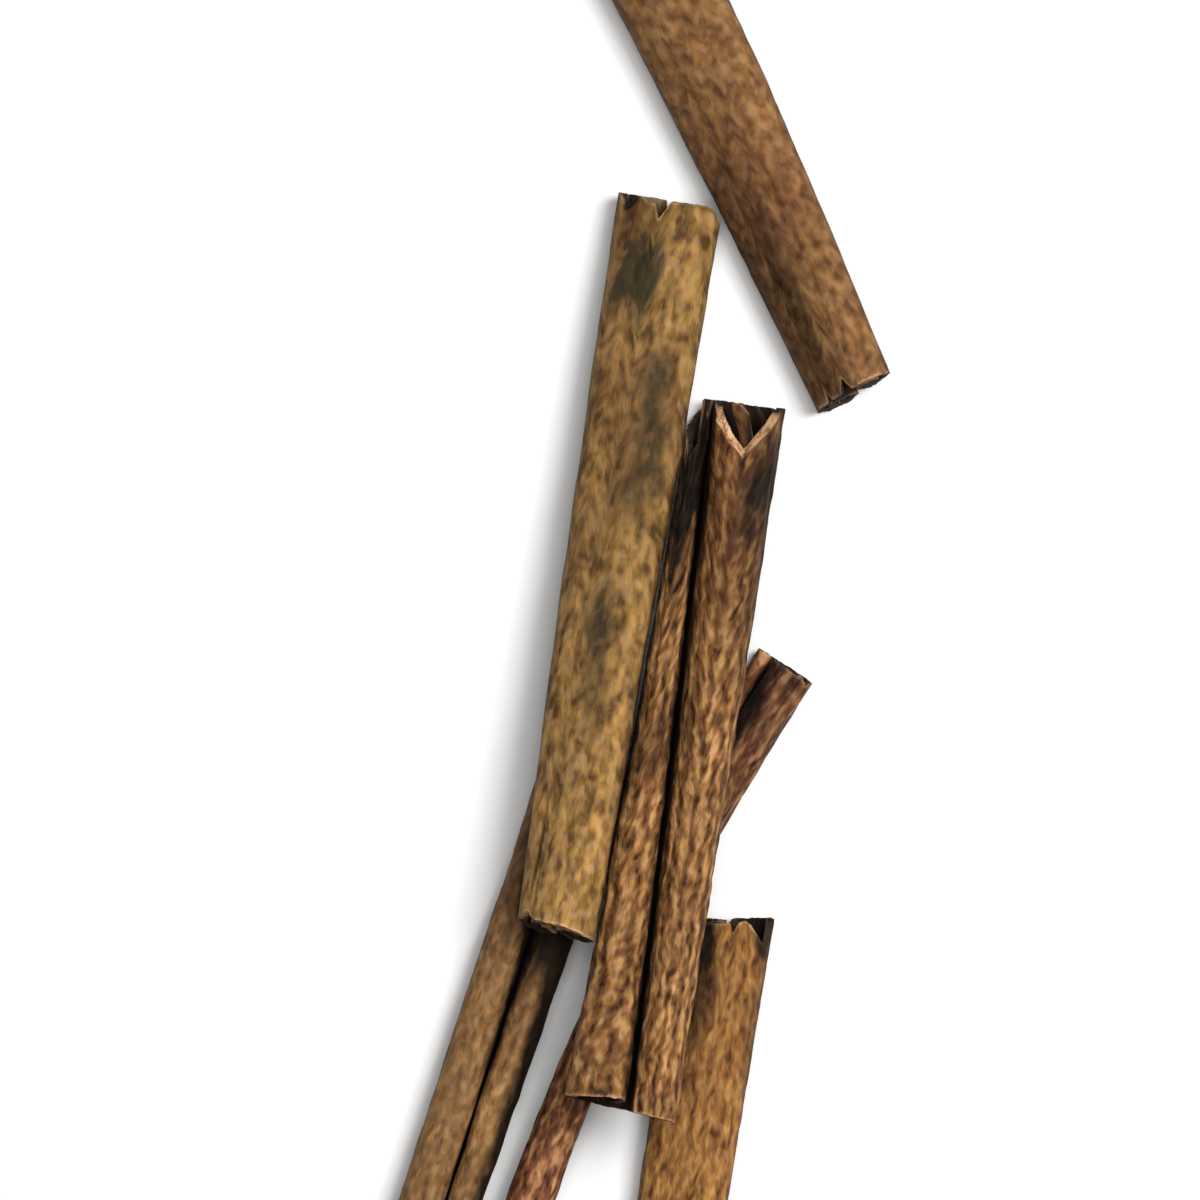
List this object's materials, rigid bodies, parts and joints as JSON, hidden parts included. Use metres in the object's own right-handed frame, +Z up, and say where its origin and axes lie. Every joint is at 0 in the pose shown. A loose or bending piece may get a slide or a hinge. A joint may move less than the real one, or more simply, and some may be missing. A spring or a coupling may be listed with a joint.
{
  "type": "stack of cinnamon sticks",
  "caption": "Loose stack of cassia bark quills, each rolled inwards from both edges, lying roughly parallel and propped on one another.",
  "frame": {"origin": "on the surface the stack lies on, below the middle of its bounding box", "axes": "+Y along the stack, towards the lone stick at its end; +Z up, away from the surface; +X to the right of +Y seen from above"},
  "size_m": [0.062, 0.2122, 0.0185],
  "materials": {
    "stick_tan": "matt dry bark, pale yellow-brown with grey-green patches",
    "stick_centre": "matt dry bark, brown with short pale streaks",
    "stick_slim": "matt dry bark, dark reddish brown",
    "stick_left": "matt dry bark, brown, one side stained dark",
    "stick_right": "matt dry bark, warm brown with fine pale streaks",
    "stick_top": "matt dry bark, even mid brown"
  },
  "bodies": {
    "root": {"stick_tan": "stick_tan", "stick_centre": "stick_centre", "stick_slim": "stick_slim", "stick_left": "stick_left", "stick_right": "stick_right", "stick_top": "stick_top"}
  },
  "joints": []
}
